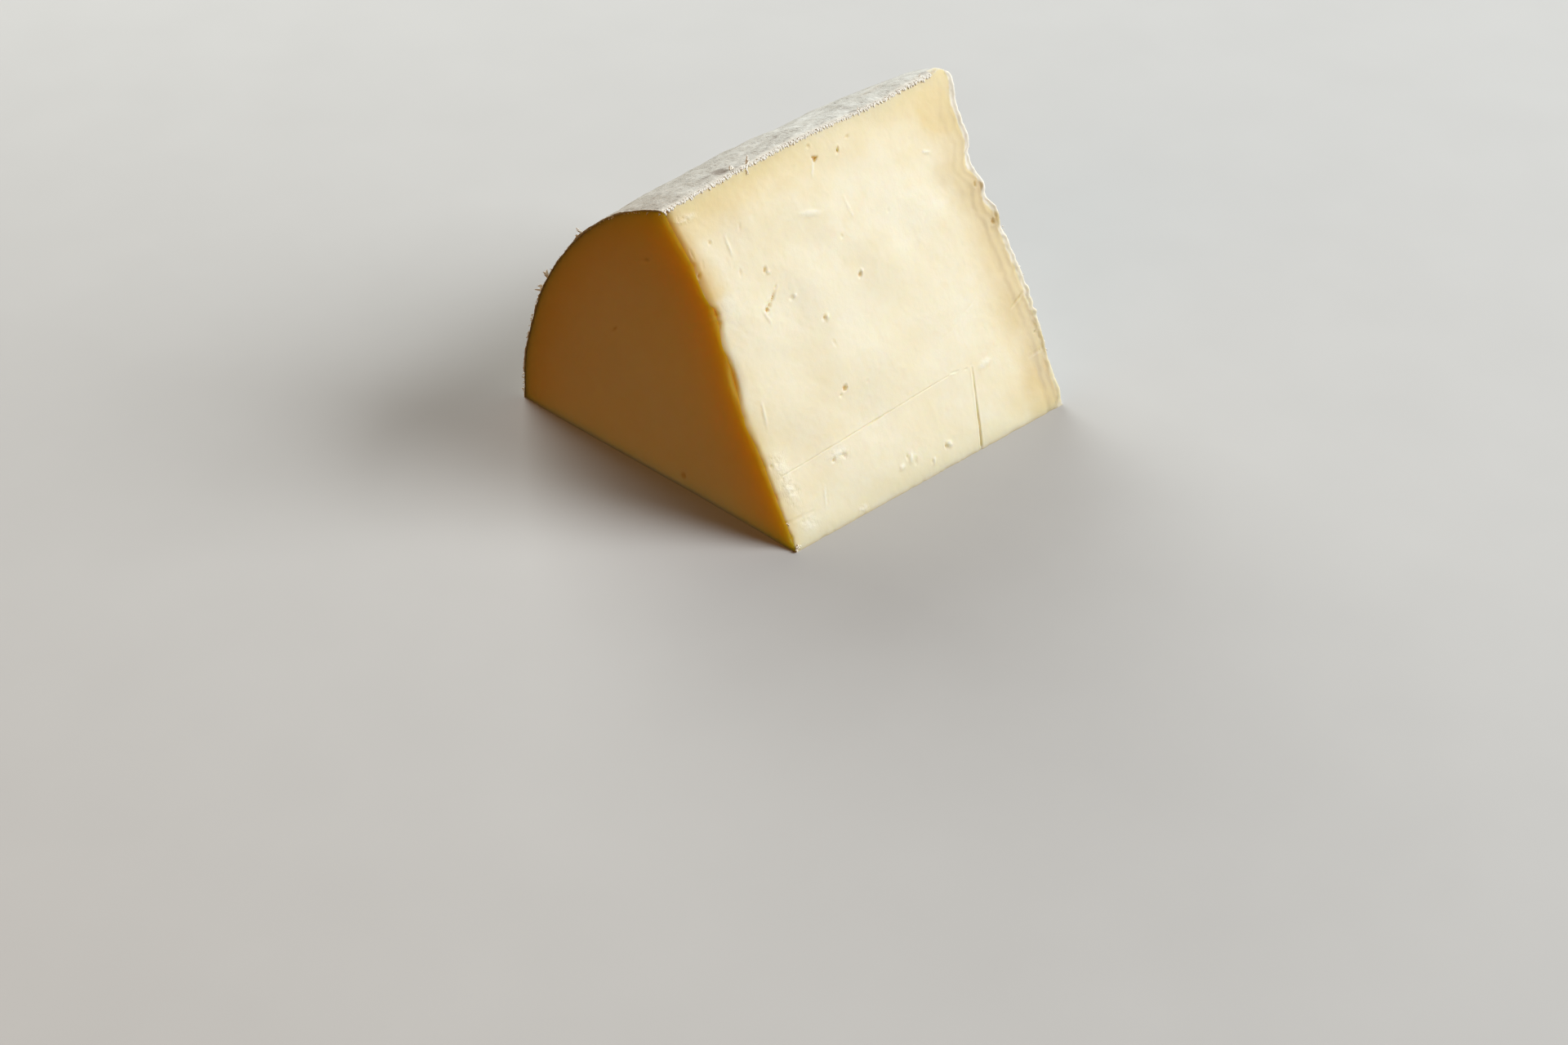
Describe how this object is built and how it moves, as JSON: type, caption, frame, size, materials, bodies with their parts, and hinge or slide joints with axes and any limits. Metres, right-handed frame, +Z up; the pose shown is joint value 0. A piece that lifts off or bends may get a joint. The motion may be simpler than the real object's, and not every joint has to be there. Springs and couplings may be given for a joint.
{
  "type": "wensleydale cheese wedge",
  "caption": "Wedge of clothbound hard cheese cut from a half-height drum, with smooth cut faces and a cloth rind on its round side and end.",
  "frame": {"origin": "centre of the bounding box's bottom, on the flat lower cut that the wedge rests on", "axes": "+X along the drum's axis from the cross cut to the rind end, +Y from the axis edge out to the round rind, +Z up from the base"},
  "size_m": [0.1043, 0.0979, 0.0759],
  "materials": {
    "cheese": "soft waxy cut paste, cream yellow, slightly translucent",
    "rind": "dry grey-white muslin rind, matt, with brown mould mottling"
  },
  "bodies": {
    "root": {"cheese_wedge": "cheese"}
  },
  "joints": []
}
